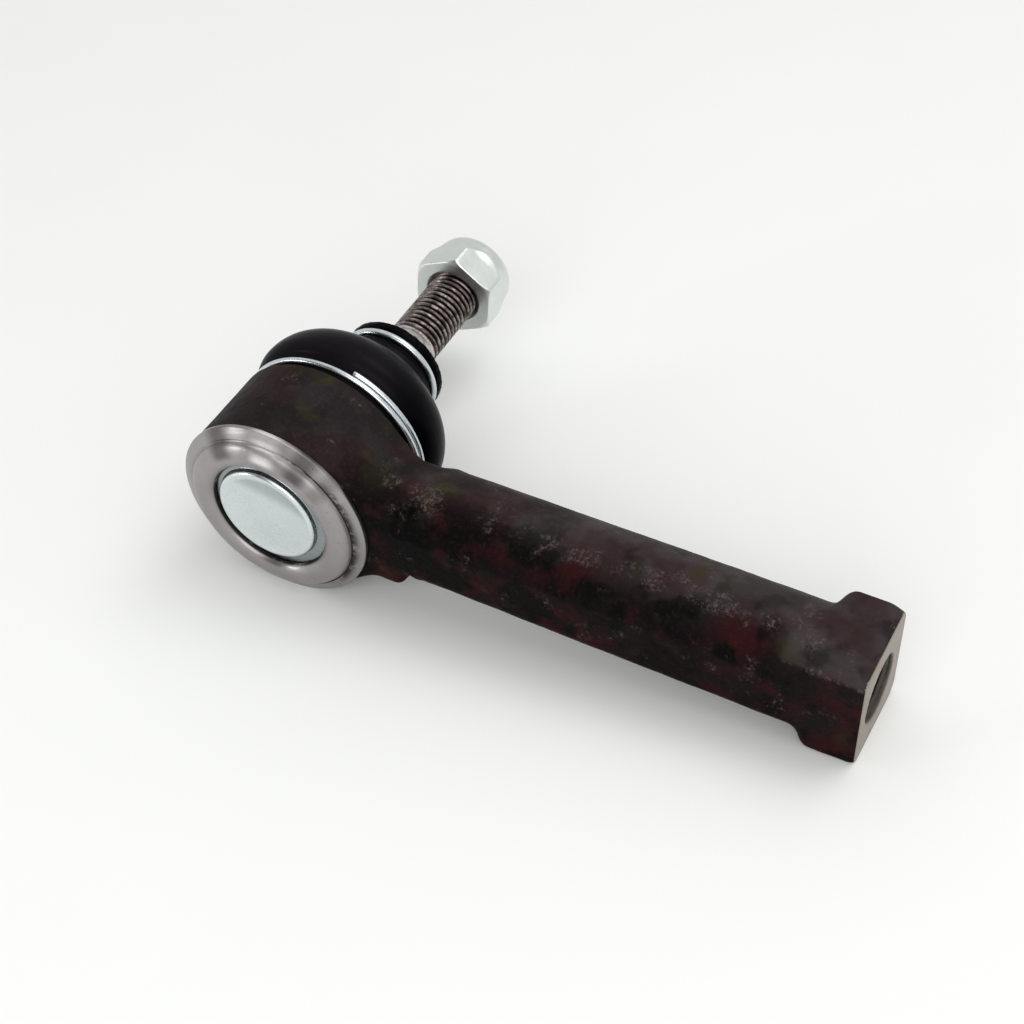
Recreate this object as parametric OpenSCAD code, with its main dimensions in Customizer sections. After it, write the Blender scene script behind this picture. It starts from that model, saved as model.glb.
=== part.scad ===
// Tie rod end: a ball stud in a forged housing with a threaded shank, a rubber boot and a lock nut.
// The ball's centre is the origin, the shank runs along +X and the stud along +Y, with +Z up.

/* [Ball and stud] */
// Diameter of the ball
ball_d = 22; // [21:0.5:22.5]
// Diameter of the stud's neck, next to the ball
neck_d = 12; // [10:0.5:12.5]
// Large diameter of the 1:10 taper that seats in the steering arm
taper_large_d = 14.8; // [14:0.1:15]
// Distance from the ball's centre to the taper's large end
taper_start = 28; // [26:0.5:29]
// Distance from the ball's centre to the thread's first turn
thread_start = 46; // [45:0.5:48]
// Nominal diameter of the stud's thread
stud_thread_d = 12; // [11:0.5:12]
// Distance from the ball's centre to the stud's threaded tip
stud_tip = 75; // [74:0.5:76]

/* [Housing] */
// Outer diameter of the round housing
housing_d = 44; // [43:0.5:46]
// Distance from the ball's centre to the edge of the housing's cap end
cap_edge = 11.7; // [11.5:0.1:12]
// Distance from the ball's centre to the shoulder under the boot's bead
boot_shoulder = 10; // [9.5:0.5:10]
// Diameter of the spigot that the boot's bead grips
spigot_d = 37; // [36:0.5:38]
// Opening of the lip rolled over the closing plate
lip_opening_d = 27.2; // [27:0.2:28.6]

/* [Shank] */
// Diameter of the round shank
shank_d = 24.8; // [24:0.2:25]
// Diameter of the shank where it leaves the waist
shank_neck_d = 24; // [23.6:0.2:24.4]
// Diameter of the waist between the housing and the shank
waist_d = 23.2; // [22:0.2:23.4]
// Distance from the ball's centre to the shank's end face
shank_end = 129.6; // [115:0.2:140]
// Width across the two wrench flats of the shank's end
flats_width = 22; // [20.6:0.2:22.4]
// Height of the wrench end, along its flats
flats_height = 24.6; // [24:0.2:24.6]
// Length of the wrench end
flats_length = 12.3; // [11:0.1:15]
// Minor diameter of the shank's internal thread
thread_minor_d = 12.38; // [10:0.01:14]
// Length of the shank's internal thread
thread_length = 48; // [30:1:55]

/* [Boot and rings] */
// Widest diameter of the rubber boot
boot_d = 46; // [45:0.2:46.4]
// Outer diameter of the boot's lip
boot_lip_d = 23.8; // [22:0.2:25]
// Wall thickness of the boot
boot_wall = 1.8; // [1.2:0.1:2.2]
// Wire diameter of the two-turn ring at the boot's base
base_wire_d = 1.3; // [1.2:0.1:1.5]

/* [Lock nut] */
// Width across the nut's flats
nut_af = 19; // [18:0.5:20]
// Distance from the ball's centre to the nut's near face
nut_face = 65.1; // [60:0.1:66]
// Height of the nut's hexagon
nut_hex_height = 8.4; // [7:0.2:9]
// Height of the round collar that holds the nylon insert
nut_collar_height = 3.8; // [3.8:0.2:5]
// Diameter of the nut's collar
nut_collar_d = 18.8; // [18.6:0.1:19]

/* [Hidden] */
$fn = 96;

// Overlap of cutting solids, so that no skin is left
cut = 1;
ball_r = ball_d/2;
// Running gap between the ball and its seats
ball_gap = 0.1;
seat_in_r = ball_r + ball_gap;
seat_wall = 2;
seat_out_r = seat_in_r + seat_wall;
// Gap between a seat and the bore that holds it
seat_gap = 0.1;
cavity_r = seat_out_r + seat_gap;
// The upper seat ends here, which leaves the neck room to lean
seat_top = 5.3;
// The cavity's dome opens into the flared mouth here
mouth_start = 7;
mouth_r = sqrt(cavity_r*cavity_r - mouth_start*mouth_start);
mouth_out_r = 14.2;
spigot_top = boot_shoulder + 4;
// Cone between the stud's neck and its taper, and the ends of its thread
neck_cone_length = 5;
thread_relief = 1;
tip_chamfer = 1;
spot_face_d = housing_d + 3;
// Size of the housing's small broken edges
edge = 0.4;
// Where the two seats meet
seat_split = -3.5;
seat_bottom = -10.2;

// Closing plate: a flange on a shoulder, and a raised centre disc
plate_wall = 1.5;
plate_inner = -11.6;
plate_flange_r = 16.8;
plate_disc_r = 11.7;
plate_gap = 0.1;
plate_rise = 1.55;
plate_outer = plate_inner - plate_wall;
plate_fillet = 0.8;
lip_inner_r = lip_opening_d/2;
lip_outer_r = 19.6;
lip_height = 1.8;
lip_round = 0.7;
// The lip's inner edge lies this far below its crest
lip_dip = 0.15;
rim_band_r = 19.9;

// Belleville spring between the plate and the lower seat
spring_in_r = 7.5;
spring_out_r = 13;
spring_thickness = 0.8;

waist_end = 31;
shoulder_end = 35;
// The shank's draft runs from the shoulder to here
draft_end = 95;
// Web in front of the waist, just behind the cap end's edge
web_end = 29.6;
web_front = cap_edge - 1.2;
web_half = 11.4;
web_chamfer = 1.2;
flats_start = shank_end - flats_length;
flats_corner_d = norm([flats_width, flats_height]);
// Cones that turn down the corners at the wrench end's start and at its face
flats_clearance = 0.4;
flats_blank_d = flats_corner_d + flats_clearance;
shoulder_length = 4;
turned_length = 2.4;
turned_depth = 0.95;
turned_face_d = flats_corner_d - 2*turned_depth;
mouth_chamfer_d = 15;
drill_point = 3.5;

// Boot outline
boot_r = boot_d/2;
bulge_r = 9.5;
bulge_y = 18;
bulge_x = boot_r - bulge_r;
base_arc_r = 4;
// Angles at which the outline turns out of the bead, over the bulge and into the cone
base_angle = -50;
crown_angle = 4;
cone_angle = 45;
bead_gap = 0.05;
bead_in_r = spigot_d/2 + bead_gap;
bead_out_r = 20.5;
bead_lift = 0.1;
bead_y = boot_shoulder + bead_lift;
bead_inner_y = spigot_top + 0.3;
boot_neck_r = 11.4;
boot_neck_y = 34;
neck_fillet = 3;
boot_lip_r = boot_lip_d/2;
boot_lip_y = 38.1;
boot_top = 40.3;
lip_edge_r = 0.8;
// Chamfer inside the lip, along the radius and along the axis
lip_chamfer_r = 1.2;
lip_chamfer_y = 0.8;
neck_ring_y = 35.8;
neck_ring_wire_r = 0.9;
neck_ring_r = 11.2;
// Groove that holds the neck ring
ring_gap = 0.05;
groove_r = neck_ring_r - neck_ring_wire_r - ring_gap;
groove_start = boot_neck_y + 0.6;
groove_end = neck_ring_y + neck_ring_wire_r + 2*ring_gap;
// Gap between the turning stud and the boot's sealing lips
lip_gap = 0.08;

base_wire_r = base_wire_d/2;
base_ring_y = bead_y + 2;
base_ring_pitch = 1.9;
base_ring_r = 21.25;
// The wire steps from one turn to the other at this angle from the shank
ring_step_angle = 60;
ring_step_r = base_wire_r - 0.1;
// Facets around a ring's wire
wire_facets = 24;

// Nut
thread_gap = 0.03;
nut_corner_r = nut_af/sqrt(3);
nut_corner_angle = 25;
nut_hex_end = nut_face + nut_hex_height;
nut_end = nut_hex_end + nut_collar_height;
nut_bore_r = stud_thread_d/2 + thread_gap;
nut_countersink_r = 6.9;
// Circles that the chamfers leave on the nut's two faces, and the slopes of those chamfers
nut_face_r = nut_corner_r - 0.6;
nut_back_r = nut_af/2 - 0.2;
nut_blank_r = nut_corner_r + 0.3;
nut_face_slope = tan(30);
nut_back_slope = tan(58);
nut_collar_r = nut_collar_d/2;
nut_collar_round = 2;
// Room around the nylon insert, across and along
insert_gap = 0.08;
insert_slack = 0.1;
insert_pocket_r = 8.2;
insert_start = nut_hex_end + 0.3;
insert_height = 3;
nut_mouth_r = 7.2;

// Turns a solid whose axis is Z onto the stud's axis, +Y
module on_stud_axis()
{
    rotate([-90, 0, 0]) children();
}

// Puts a solid whose axis is Z on the shank's axis, starting at x
module on_shank_axis(x)
{
    translate([x, 0, 0]) rotate([0, 90, 0]) children();
}

// Points of an arc in the [radius, height] plane
function arc(centre, r, from, to, steps = 12) =
    [for (i = [0:steps]) let (a = from + (to - from)*i/steps) centre + r*[cos(a), sin(a)]];

// Radius of the 1:10 taper at a height above the ball's centre
function taper_r(y) = taper_large_d/2 - (y - taper_start)/20;

// Round part of the housing, from its chamfered cap edge to the boot's spigot
module housing_body()
{
    rotate_extrude()
        polygon([[0, plate_outer], [rim_band_r, plate_outer],
            [housing_d/2 - edge, -cap_edge], [housing_d/2, edge - cap_edge],
            [housing_d/2, boot_shoulder - edge], [housing_d/2 - edge, boot_shoulder],
            [spigot_d/2, boot_shoulder],
            [spigot_d/2, spigot_top - edge], [spigot_d/2 - edge, spigot_top],
            [0, spigot_top]]);
}

// Inside of the housing: plate seat, straight bore, dome over the ball and flared mouth
module housing_cavity()
{
    rotate_extrude()
        polygon(concat(
            [[0, plate_outer - cut], [plate_flange_r, plate_outer - cut]],
            [[plate_flange_r, plate_inner], [cavity_r, plate_inner]],
            arc([0, 0], cavity_r, 0, acos(mouth_r/cavity_r), 16),
            [[mouth_out_r, spigot_top], [mouth_out_r, spigot_top + cut], [0, spigot_top + cut]]));
}

// Lip rolled over the plate's flange
module rolled_lip()
{
    rotate_extrude()
        polygon(concat(
            [[lip_inner_r, plate_outer], [plate_flange_r, plate_outer],
             [plate_flange_r, plate_outer + edge], [lip_outer_r, plate_outer + edge]],
            arc([lip_outer_r - lip_height, plate_outer], lip_height, 0, -90),
            arc([lip_inner_r + lip_round, plate_outer - lip_height + lip_round + lip_dip],
                lip_round, -90, -180, 6)));
}

// Flat cut around the spigot, which clears the boot's bead and ring
module spot_face()
{
    difference() {
        translate([0, 0, boot_shoulder]) cylinder(d = spot_face_d, h = housing_d);
        cylinder(d = spigot_d, h = housing_d);
    }
}

// Wrench end: two flats across the stud's direction, with the corners turned down
module wrench_end()
{
    on_shank_axis(flats_start)
        cylinder(d1 = shank_d, d2 = flats_width, h = (shank_d - flats_width)/2);
    intersection() {
        translate([flats_start - shoulder_length/2, -flats_width/2, -flats_height/2])
            cube([flats_length + shoulder_length/2, flats_width, flats_height]);
        union() {
            on_shank_axis(flats_start - shoulder_length/2)
                cylinder(d1 = shank_neck_d, d2 = flats_blank_d, h = shoulder_length);
            on_shank_axis(flats_start + shoulder_length/2)
                cylinder(d = flats_blank_d, h = flats_length - shoulder_length/2 - turned_length);
            on_shank_axis(shank_end - turned_length)
                cylinder(d1 = flats_blank_d, d2 = turned_face_d, h = turned_length);
        }
    }
}

// Web that carries the housing's front face on to the shank
module waist_web()
{
    on_shank_axis(0)
        linear_extrude(web_end)
            polygon([[-web_half, 0], [-web_half, web_chamfer - web_front],
                [web_chamfer - web_half, -web_front], [web_half - web_chamfer, -web_front],
                [web_half, web_chamfer - web_front], [web_half, 0]]);
}

module shank()
{
    on_shank_axis(0) cylinder(d = waist_d, h = waist_end);
    on_shank_axis(waist_end) cylinder(d1 = waist_d, d2 = shank_neck_d, h = shoulder_end - waist_end);
    on_shank_axis(shoulder_end)
        cylinder(d1 = shank_neck_d, d2 = shank_d, h = draft_end - shoulder_end);
    on_shank_axis(draft_end) cylinder(d = shank_d, h = flats_start - draft_end);
    waist_web();
    wrench_end();
}

// Threaded hole, opening at the shank's end face
module shank_hole()
{
    on_shank_axis(shank_end - thread_length) cylinder(d = thread_minor_d, h = thread_length + cut);
    on_shank_axis(shank_end - thread_length - drill_point)
        cylinder(d1 = 0, d2 = thread_minor_d, h = drill_point);
    on_shank_axis(shank_end - (mouth_chamfer_d - thread_minor_d)/2)
        cylinder(d1 = thread_minor_d, d2 = mouth_chamfer_d, h = (mouth_chamfer_d - thread_minor_d)/2);
}

module housing()
{
    color([0.19, 0.16, 0.15])
        difference() {
            union() {
                on_stud_axis() housing_body();
                shank();
            }
            on_stud_axis() housing_cavity();
            on_stud_axis() spot_face();
            shank_hole();
        }
    color([0.62, 0.58, 0.57]) on_stud_axis() rolled_lip();
}

module closing_plate()
{
    color([0.79, 0.81, 0.81])
        on_stud_axis()
            rotate_extrude()
                polygon(concat(
                    [[0, plate_outer - plate_rise]],
                    arc([plate_disc_r - plate_fillet, plate_outer - plate_rise + plate_fillet],
                        plate_fillet, 270, 360, 6),
                    [[plate_disc_r, plate_outer], [plate_flange_r - plate_gap, plate_outer],
                     [plate_flange_r - plate_gap, plate_inner], [plate_disc_r - plate_wall, plate_inner],
                     [plate_disc_r - plate_wall, plate_inner - plate_rise],
                     [0, plate_inner - plate_rise]]));
}

module preload_spring()
{
    color([0.35, 0.36, 0.38])
        on_stud_axis()
            rotate_extrude()
                polygon([[spring_out_r, plate_inner], [spring_out_r, plate_inner + spring_thickness],
                    [spring_in_r, seat_bottom], [spring_in_r, seat_bottom - spring_thickness]]);
}

module lower_seat()
{
    color([0.85, 0.84, 0.78])
        on_stud_axis()
            difference() {
                translate([0, 0, seat_bottom])
                    cylinder(r = seat_out_r, h = seat_split - seat_bottom);
                sphere(r = seat_in_r);
            }
}

module ball_seat()
{
    color([0.85, 0.84, 0.78])
        on_stud_axis()
            rotate_extrude()
                polygon(concat(
                    [[seat_out_r, seat_split]],
                    arc([0, 0], seat_out_r, 0, asin(seat_top/seat_out_r), 16),
                    arc([0, 0], seat_in_r, asin(seat_top/seat_in_r), asin(seat_split/seat_in_r), 24)));
}

module ball_stud()
{
    color([0.45, 0.42, 0.42])
        on_stud_axis() {
            sphere(r = ball_r);
            rotate_extrude()
                polygon([[0, 0], [neck_d/2, 0],
                    [neck_d/2, taper_start - neck_cone_length],
                    [taper_large_d/2, taper_start],
                    [taper_r(thread_start - thread_relief), thread_start - thread_relief],
                    [stud_thread_d/2, thread_start],
                    [stud_thread_d/2, stud_tip - tip_chamfer],
                    [stud_thread_d/2 - tip_chamfer, stud_tip],
                    [0, stud_tip]]);
        }
}

// Outer outline of the boot from its bead to its lip, bottom to top
function boot_outside() = concat(
    [[bead_out_r, bead_y], [bead_out_r, base_ring_y + base_ring_pitch + base_wire_r]],
    arc([boot_r - base_arc_r, bulge_y], base_arc_r, base_angle, 0, 8),
    arc([bulge_x, bulge_y], bulge_r, crown_angle, cone_angle, 10),
    arc([boot_neck_r + neck_fillet, boot_neck_y], neck_fillet, 180 + cone_angle, 180, 8),
    [[groove_r, groove_start], [groove_r, groove_end], [boot_lip_r, boot_lip_y]],
    arc([boot_lip_r - lip_edge_r, boot_lip_y + lip_edge_r], lip_edge_r, 0, 80, 5));

// Inner outline of the boot, top to bottom
function boot_inside() = concat(
    [[taper_r(boot_top) + lip_gap + lip_chamfer_r, boot_top],
     [taper_r(boot_top) + lip_gap, boot_top - lip_chamfer_y],
     [taper_r(boot_neck_y) + lip_gap, boot_neck_y]],
    arc([boot_neck_r + neck_fillet, boot_neck_y], neck_fillet + boot_wall, 190, 180 + cone_angle, 8),
    arc([bulge_x, bulge_y], bulge_r - boot_wall, cone_angle, crown_angle, 10),
    arc([boot_r - base_arc_r, bulge_y], base_arc_r - boot_wall, 0, base_angle, 6),
    [[bead_in_r, bead_inner_y], [bead_in_r, bead_y]]);

module boot()
{
    color([0.05, 0.05, 0.055])
        on_stud_axis()
            rotate_extrude()
                polygon(concat(boot_outside(), boot_inside()));
}

// Two turns of round wire, and the step from one to the other on the shank's side
module boot_base_ring()
{
    color([0.72, 0.74, 0.76])
        on_stud_axis() {
            rotate_extrude()
                for (turn = [0:1])
                    translate([base_ring_r, base_ring_y + turn*base_ring_pitch])
                        circle(r = base_wire_r, $fn = wire_facets);
            rotate(ring_step_angle)
                translate([base_ring_r, 0, base_ring_y])
                    cylinder(r = ring_step_r, h = base_ring_pitch, $fn = wire_facets);
        }
}

module boot_neck_ring()
{
    color([0.78, 0.8, 0.82])
        on_stud_axis()
            rotate_extrude()
                translate([neck_ring_r, neck_ring_y])
                    circle(r = neck_ring_wire_r, $fn = wire_facets);
}

module lock_nut()
{
    color([0.8, 0.82, 0.79])
        on_stud_axis()
            difference() {
                union() {
                    intersection() {
                        translate([0, 0, nut_face])
                            rotate(-nut_corner_angle)
                                cylinder(r = nut_corner_r, h = nut_hex_height, $fn = 6);
                        rotate_extrude()
                            polygon([[0, nut_face], [nut_face_r, nut_face],
                                [nut_blank_r, nut_face + (nut_blank_r - nut_face_r)*nut_face_slope],
                                [nut_blank_r, nut_hex_end - (nut_blank_r - nut_back_r)*nut_back_slope],
                                [nut_back_r, nut_hex_end], [0, nut_hex_end]]);
                    }
                    rotate_extrude()
                        polygon(concat(
                            [[0, nut_hex_end - cut], [nut_collar_r, nut_hex_end - cut]],
                            arc([nut_collar_r - nut_collar_round, nut_end - nut_collar_round],
                                nut_collar_round, 0, 90, 6),
                            [[0, nut_end]]));
                }
                translate([0, 0, nut_face - cut]) cylinder(r = nut_bore_r, h = nut_end - nut_face + 2*cut);
                translate([0, 0, nut_face])
                    cylinder(r1 = nut_countersink_r, r2 = nut_bore_r, h = nut_countersink_r - nut_bore_r);
                translate([0, 0, insert_start])
                    cylinder(r = insert_pocket_r, h = insert_height + 2*insert_slack);
                translate([0, 0, insert_start]) cylinder(r = nut_mouth_r, h = nut_collar_height + cut);
            }
}

module lock_nut_insert()
{
    color([0.9, 0.9, 0.86])
        on_stud_axis()
            translate([0, 0, insert_start + insert_slack])
                difference() {
                    cylinder(r = insert_pocket_r - insert_gap, h = insert_height);
                    translate([0, 0, -cut]) cylinder(r = nut_bore_r, h = insert_height + 2*cut);
                }
}

housing();
closing_plate();
preload_spring();
lower_seat();
ball_seat();
ball_stud();
boot();
boot_base_ring();
boot_neck_ring();
lock_nut();
lock_nut_insert();
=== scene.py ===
"""Looks of the tie rod end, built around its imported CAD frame.

Lengths are in millimetres until a mesh is made. +X runs along the shank, +Y along the stud, +Z up.
"""
import math

import bpy
import numpy as np
from mathutils import Matrix, Vector, noise


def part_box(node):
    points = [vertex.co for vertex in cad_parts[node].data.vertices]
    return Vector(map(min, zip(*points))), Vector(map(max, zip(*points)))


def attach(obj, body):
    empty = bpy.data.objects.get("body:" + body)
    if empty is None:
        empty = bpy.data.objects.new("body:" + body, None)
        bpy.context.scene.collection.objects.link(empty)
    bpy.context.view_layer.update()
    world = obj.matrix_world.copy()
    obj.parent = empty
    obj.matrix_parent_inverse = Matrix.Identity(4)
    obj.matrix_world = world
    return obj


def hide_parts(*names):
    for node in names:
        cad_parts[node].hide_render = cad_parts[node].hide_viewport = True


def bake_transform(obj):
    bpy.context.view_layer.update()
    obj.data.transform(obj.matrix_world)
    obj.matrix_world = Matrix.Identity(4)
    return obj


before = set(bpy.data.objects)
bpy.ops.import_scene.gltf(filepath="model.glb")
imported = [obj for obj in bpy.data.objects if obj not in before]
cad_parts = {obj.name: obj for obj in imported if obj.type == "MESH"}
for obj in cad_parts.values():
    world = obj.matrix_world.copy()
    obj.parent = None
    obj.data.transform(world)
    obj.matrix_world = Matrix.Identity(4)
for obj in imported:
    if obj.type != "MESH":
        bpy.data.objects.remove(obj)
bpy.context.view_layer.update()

MM = 0.001
TURN = 2 * math.pi


def span(node, axis):
    """Lowest and highest coordinate of a CAD node along an axis (0 X, 1 Y, 2 Z), in millimetres."""
    low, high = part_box(node)
    return low[axis] / MM, high[axis] / MM


# ---------------------------------------------------------------- sizes, in millimetres
# Those with span() are read off the frame. The others repeat the CAD's sizes, or refine them for the looks.

# Head of the forging and its cavity
HEAD_R = 22.0
CAP_EDGE = -11.7
SHOULDER_Y = 10.0
SPIGOT_R = 18.5
SPIGOT_TOP = span("housing", 1)[1]
CAVITY_R = 13.2
MOUTH_START = 7.0
MOUTH_OUT_R = 14.2

# Waist, web, shank and wrench end
WAIST_R = 11.6
WAIST_END = 33.0
WEB_END = 29.6
WEB_FRONT = 10.5
WEB_HALF = 11.4
SHANK_END = span("housing", 0)[1]
SHANK_R = 12.4
SHANK_NECK_R = 12.0
SHANK_START = 31.0
DRAFT_END = 95.0
FLATS_Y = 11.0
FLATS_SHIFT = 0.4
FLATS_Z = 12.3
FLATS_LENGTH = 12.3
FLATS_FACE_R = 15.3
HOLE_MAJOR_R = 7.0
HOLE_MINOR_R = 6.19
HOLE_MOUTH_R = 7.5
HOLE_DEPTH = 48.0
SHANK_PITCH = 1.5

# Closing plate and the rim that is rolled over it
PLATE_R = span("closing_plate", 2)[1]
PLATE_TOP, PLATE_BACK = span("closing_plate", 1)
PLATE_WALL = 1.5
DISC_R = 11.7
DISC_SHIFT = (-0.35, 0.6)
FLANGE_START = 13.6
BAND_BACK = -10.9
BAND_R = 21.95
LIP_OPENING_R = 13.6
LIP_CREST_R = 15.8
LIP_BACK = -13.0

# Boot and its rings
BOOT_R = span("boot", 2)[1]
BOOT_BEAD_Y, BOOT_TOP = span("boot", 1)
BEAD_R = 20.5
BULGE_Y = 18.0
BULGE_R = 9.5
BASE_ARC_R = 4.0
BOOT_NECK_R = 11.4
BOOT_NECK_Y = 34.0
NECK_FILLET = 3.0
BOOT_WALL = 1.4
LIP_R = 11.9
LIP_Y = 38.1
SEAM_SHARE = 0.26
SEAM_LAP = 0.08
BASE_RING_R = 21.25
BASE_RING_Y = BOOT_BEAD_Y + 2.0
BASE_WIRE_R = 0.65
BASE_PITCH = 1.5
BASE_CUT_ANGLE = math.radians(286.7)
BASE_DROP_ANGLE = math.radians(420)
NECK_RING_R = 11.2
NECK_RING_Y = 35.8
NECK_WIRE_R = 0.9
GROOVE_R = NECK_RING_R - NECK_WIRE_R - 0.05

# Stud
STUD_TIP = span("ball_stud", 1)[1]
TIP_R = 4.9
BALL_R = -span("ball_stud", 1)[0]
NECK_R = 6.0
TAPER_START = 28.0
TAPER_R = 7.4
THREAD_START = 46.0
THREAD_R = 6.0
THREAD_DEPTH = 0.9
PITCH = 1.5

# Nut
NUT_FACE, NUT_END = span("lock_nut", 1)
NUT_HEX = 8.4
NUT_AF = 19.0
NUT_CORNER_R = NUT_AF / math.sqrt(3)
NUT_ANGLE = math.radians(25)
COLLAR_R = 9.7
SINK_R = 6.9
POCKET_R = 8.2
POCKET_MOUTH_R = 7.2


# ---------------------------------------------------------------- mesh helpers

def mesh_object(name, points, faces):
    """A smooth-shaded mesh object from points in millimetres."""
    mesh = bpy.data.meshes.new(name)
    mesh.from_pydata((np.asarray(points, float) * MM).tolist(), [], [tuple(map(int, f)) for f in faces])
    mesh.validate()
    mesh.update()
    mesh.shade_smooth()
    made = bpy.data.objects.new(name, mesh)
    bpy.context.collection.objects.link(made)
    return made


def arc(centre_r, centre_y, radius, first, last, steps=12):
    """Points of an arc in the (radius, height) plane, angles in degrees."""
    angles = np.radians(np.linspace(first, last, steps + 1))
    return [(centre_r + radius * math.cos(a), centre_y + radius * math.sin(a)) for a in angles]


def lathe_grid(rows, segments, radius_at=None):
    """Points of (radius, height) rows turned about +Y; radius_at(angle, radius, height) may reshape them."""
    angle = np.linspace(0, TURN, segments, endpoint=False)
    rows = np.asarray(rows, float)
    radius = np.repeat(rows[:, :1], segments, 1)
    height = np.repeat(rows[:, 1:2], segments, 1)
    if radius_at:
        radius = radius_at(angle[None, :], radius, height)
    return np.stack([radius * np.cos(angle), height, radius * np.sin(angle)], -1).reshape(-1, 3)


def ring_faces(count, segments, closed):
    """Quads between neighbouring rows of a lathe; closed joins the last row to the first."""
    around = np.arange(segments)
    after = (around + 1) % segments
    faces = []
    for row in range(count if closed else count - 1):
        a, b = row * segments, (row + 1) % count * segments
        faces.append(np.stack([a + around, b + around, b + after, a + after], -1))
    return np.concatenate(faces)


def lathe_ring(name, rows, segments=192):
    """A closed ring: rows go once round its section, counter-clockwise in (radius, height)."""
    points = lathe_grid(rows, segments)
    return mesh_object(name, points, ring_faces(len(rows), segments, True))


def lathe_solid(name, rows, segments=192, radius_at=None):
    """A solid turned about +Y: rows go from its lowest point on the axis to its highest."""
    points = lathe_grid(rows[1:-1], segments, radius_at)
    count = len(rows) - 2
    low, high = len(points), len(points) + 1
    points = np.concatenate([points, [(0, rows[0][1], 0), (0, rows[-1][1], 0)]])
    last = (count - 1) * segments
    faces = [tuple(f) for f in ring_faces(count, segments, False)]
    for i in range(segments):
        j = (i + 1) % segments
        faces.append((low, i, j))
        faces.append((high, last + j, last + i))
    return mesh_object(name, points, faces)


def soft_min(a, b, k):
    """Smooth union of two distances, with a fillet of about k."""
    h = np.clip(0.5 + 0.5 * (b - a) / k, 0, 1)
    return b + (a - b) * h - k * h * (1 - h)


def soft_max(a, b, k):
    """Smooth intersection of two distances, with an edge rounded by about k."""
    return -soft_min(-a, -b, k)


def skin(name, distance, low, high, step, unevenness=None):
    """Mesh of the surface where distance(x, y, z) is 0, inside the box low to high, by surface nets."""
    axes = [np.arange(a, b + step, step) for a, b in zip(low, high)]
    field = distance(*np.meshgrid(*axes, indexing="ij", sparse=True)).astype(np.float32)
    inside = field < 0
    cells = tuple(n - 1 for n in field.shape)
    corners = [(i, j, k) for i in (0, 1) for j in (0, 1) for k in (0, 1)]

    def corner(array, c):
        return array[tuple(slice(o, o + n) for o, n in zip(c, cells))]

    # One point in each cell that the surface passes through: the mean of where it crosses the cell's edges
    filled = sum(corner(inside, c).astype(np.int8) for c in corners)
    at = np.nonzero((filled > 0) & (filled < 8))
    number = np.full(cells, -1)
    number[at] = np.arange(len(at[0]))
    total, hits = np.zeros((len(at[0]), 3)), np.zeros(len(at[0]))
    for c in corners:
        for axis in range(3):
            if c[axis]:
                continue
            d = tuple(o + (n == axis) for n, o in enumerate(c))
            va, vb = corner(field, c)[at], corner(field, d)[at]
            cross = (va < 0) != (vb < 0)
            share = np.where(cross, va / np.where(cross, va - vb, 1), 0)
            spot = np.array(c, float)[None, :].repeat(len(share), 0)
            spot[:, axis] += share
            total += spot * cross[:, None]
            hits += cross
    points = (np.stack(at, -1) + total / hits[:, None]) * step + np.array(low)

    # One quad around each grid edge that the surface crosses, between the points of its four cells
    faces = []
    for axis in range(3):
        u, v = (axis + 1) % 3, (axis + 2) % 3
        here = tuple(slice(0, -1) if n == axis else slice(1, -1) for n in range(3))
        there = tuple(slice(1, None) if n == axis else slice(1, -1) for n in range(3))
        for entering in (False, True):
            edge = np.nonzero((inside[here] == entering) & (inside[there] != entering))
            base = np.stack(edge, -1)
            base[:, u] += 1
            base[:, v] += 1
            quad = []
            for du, dv in ((-1, -1), (0, -1), (0, 0), (-1, 0)):
                cell = base.copy()
                cell[:, u] += du
                cell[:, v] += dv
                quad.append(number[tuple(cell.T)])
            quad = np.stack(quad, -1)
            faces.append(quad if entering else quad[:, ::-1])

    # The points are pulled onto the surface along its slope
    for _ in range(4):
        way, steep = slope_of(distance, points, step * 0.05)
        move = np.clip(distance(*points.T) / steep, -step, step)
        points = points - way * move[:, None] * 0.9
    if unevenness:
        points = points + slope_of(distance, points, step)[0] * unevenness(points)[:, None]
    return mesh_object(name, points, np.concatenate(faces))


def slope_of(distance, points, small):
    """Direction in which a distance grows at each point, and how steeply."""
    x, y, z = points.T
    slope = np.stack([distance(x + small, y, z) - distance(x - small, y, z),
                      distance(x, y + small, z) - distance(x, y - small, z),
                      distance(x, y, z + small) - distance(x, y, z - small)], -1) / (2 * small)
    steep = np.maximum(np.sqrt((slope ** 2).sum(-1)), 0.5)
    return slope / steep[:, None], steep


def thread_wave(turns):
    """Height of a 60 degree thread over its root, 0 to 1, at a place counted in turns along the axis."""
    u = np.abs((turns % 1) - 0.5) * 2
    return np.clip((0.9 - u) / 0.55, 0, 1)


# ---------------------------------------------------------------- pieces of the housing

def wrench_distance(x, y, z, ring):
    """Signed distance to the wrench end: two flats, with the corners turned down at both ends."""
    start = SHANK_END - FLATS_LENGTH
    block = soft_max(np.abs(y - FLATS_SHIFT) - FLATS_Y, np.abs(z) - FLATS_Z, 1.5)
    face_cone = (ring - FLATS_FACE_R - (SHANK_END - x) * 0.4) * 0.93
    back_cone = (ring - SHANK_R - 1.2 - (x - start) * 2.2) * 0.41
    block = soft_max(soft_max(block, face_cone, 0.5), back_cone, 1.6)
    return soft_max(block, x - SHANK_END, 0.45)


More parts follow.
